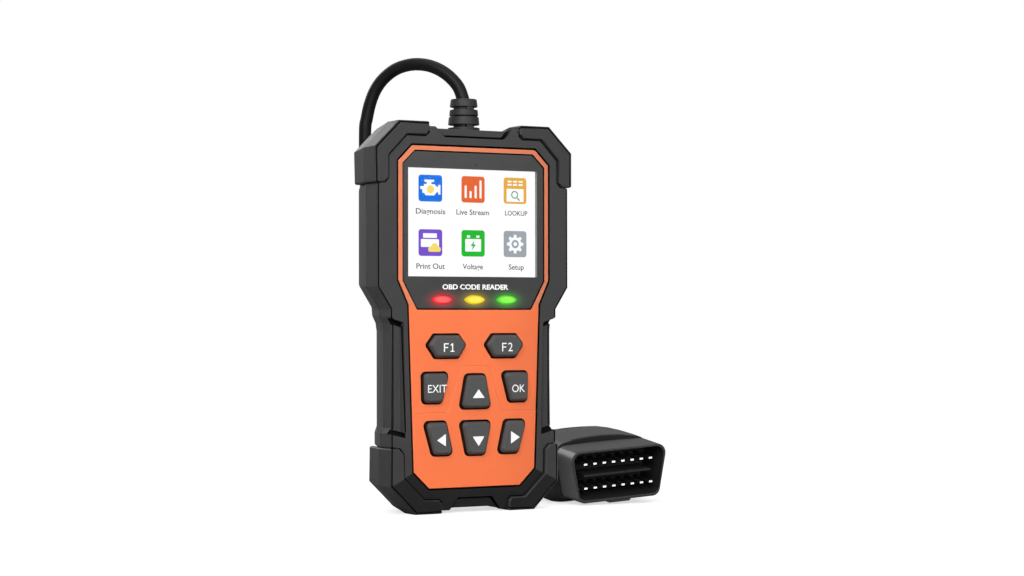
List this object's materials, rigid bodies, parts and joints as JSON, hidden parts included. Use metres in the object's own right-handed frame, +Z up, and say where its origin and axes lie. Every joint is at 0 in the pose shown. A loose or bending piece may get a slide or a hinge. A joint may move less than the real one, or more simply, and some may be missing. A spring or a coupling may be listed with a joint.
{
  "type": "obd code reader",
  "caption": "Hand-held vehicle code reader: handset with colour display, status lights and keypad, corner bumpers, and a ribbed lead to a diagnostic plug.",
  "frame": {"origin": "centre of the handset's flat back face", "axes": "+Y out of the handset's back, -Y out of its screen and keys, +Z up along the handset towards the lead, +X to the handset's right seen from the front"},
  "size_m": [0.1264, 0.1048, 0.1682],
  "materials": {
    "shell_black": "fine matte texture, moulded ABS",
    "bumper_black": "matte elastomer",
    "face_orange": "satin orange moulded plastic",
    "lens_dark": "smooth dark window, printed border",
    "screen_white": "lit colour display",
    "light_red": "lit red light pipe",
    "light_yellow": "lit yellow light pipe",
    "light_green": "lit green light pipe",
    "key_grey": "matte dark grey keys with white legends",
    "mat_silicone": "grey silicone keypad mat",
    "steel_tray": "pressed steel display tray",
    "ribbon_amber": "amber flexible ribbon",
    "board_green": "green solder mask",
    "chip_black": "moulded component black",
    "screw_steel": "zinc plated steel screw",
    "lead_black": "satin black PVC",
    "pin_metal": "bright plated contact",
    "block_black": "black moulded insert",
    "connector_white": "natural nylon header"
  },
  "bodies": {
    "handset": {"front_shell": "shell_black", "rear_shell": "shell_black", "bumper_top_left": "bumper_black", "bumper_top_right": "bumper_black", "bumper_bottom_left": "bumper_black", "bumper_bottom_right": "bumper_black", "face_plate": "face_orange", "screen_lens": "lens_dark", "lcd_panel": "screen_white", "lcd_frame": "steel_tray", "lcd_ribbon": "ribbon_amber", "light_pipe_red": "light_red", "light_pipe_yellow": "light_yellow", "light_pipe_green": "light_green", "led_red": "light_red", "led_yellow": "light_yellow", "led_green": "light_green", "keypad_mat": "mat_silicone", "main_board": "board_green", "processor": "chip_black", "buzzer": "chip_black", "board_connector": "connector_white", "cable_wires": "lead_black", "cable_boot": "lead_black", "case_screw_1": "screw_steel", "case_screw_2": "screw_steel", "case_screw_3": "screw_steel", "case_screw_4": "screw_steel", "board_screw_1": "screw_steel", "board_screw_2": "screw_steel"},
    "key_f1_cap": {"key_f1": "key_grey"},
    "key_f2_cap": {"key_f2": "key_grey"},
    "key_exit_cap": {"key_exit": "key_grey"},
    "key_ok_cap": {"key_ok": "key_grey"},
    "key_up_cap": {"key_up": "key_grey"},
    "key_down_cap": {"key_down": "key_grey"},
    "key_left_cap": {"key_left": "key_grey"},
    "key_right_cap": {"key_right": "key_grey"},
    "lead": {"cable": "lead_black"},
    "plug": {"plug_shell": "shell_black", "plug_boot": "lead_black", "pin_block": "block_black", "pin_01": "pin_metal", "pin_02": "pin_metal", "pin_03": "pin_metal", "pin_04": "pin_metal", "pin_05": "pin_metal", "pin_06": "pin_metal", "pin_07": "pin_metal", "pin_08": "pin_metal", "pin_09": "pin_metal", "pin_10": "pin_metal", "pin_11": "pin_metal", "pin_12": "pin_metal", "pin_13": "pin_metal", "pin_14": "pin_metal", "pin_15": "pin_metal", "pin_16": "pin_metal"}
  },
  "joints": [
    {"name": "press_f1", "type": "slide", "parent": "handset", "child": "key_f1_cap", "axis": [0, 1, 0], "range_m": [0, 0.0009], "stiffness_N_per_m": 400},
    {"name": "press_f2", "type": "slide", "parent": "handset", "child": "key_f2_cap", "axis": [0, 1, 0], "range_m": [0, 0.0009], "stiffness_N_per_m": 400},
    {"name": "press_exit", "type": "slide", "parent": "handset", "child": "key_exit_cap", "axis": [0, 1, 0], "range_m": [0, 0.0009], "stiffness_N_per_m": 400},
    {"name": "press_ok", "type": "slide", "parent": "handset", "child": "key_ok_cap", "axis": [0, 1, 0], "range_m": [0, 0.0009], "stiffness_N_per_m": 400},
    {"name": "press_up", "type": "slide", "parent": "handset", "child": "key_up_cap", "axis": [0, 1, 0], "range_m": [0, 0.0009], "stiffness_N_per_m": 400},
    {"name": "press_down", "type": "slide", "parent": "handset", "child": "key_down_cap", "axis": [0, 1, 0], "range_m": [0, 0.0009], "stiffness_N_per_m": 400},
    {"name": "press_left", "type": "slide", "parent": "handset", "child": "key_left_cap", "axis": [0, 1, 0], "range_m": [0, 0.0009], "stiffness_N_per_m": 400},
    {"name": "press_right", "type": "slide", "parent": "handset", "child": "key_right_cap", "axis": [0, 1, 0], "range_m": [0, 0.0009], "stiffness_N_per_m": 400},
    {"name": "lead_flex", "type": "hinge", "parent": "handset", "child": "lead", "pos_m": [0, -0.0175, 0.0784], "axis": [1, 0, 0], "range_deg": [-5, 20], "stiffness_Nm_per_rad": 0.15},
    {"name": "plug_flex", "type": "hinge", "parent": "lead", "child": "plug", "pos_m": [0.0668, 0.04151, -0.05219], "axis": [0.9955, -0.0678, 0.0659], "range_deg": [-25, 25], "stiffness_Nm_per_rad": 0.08}
  ]
}
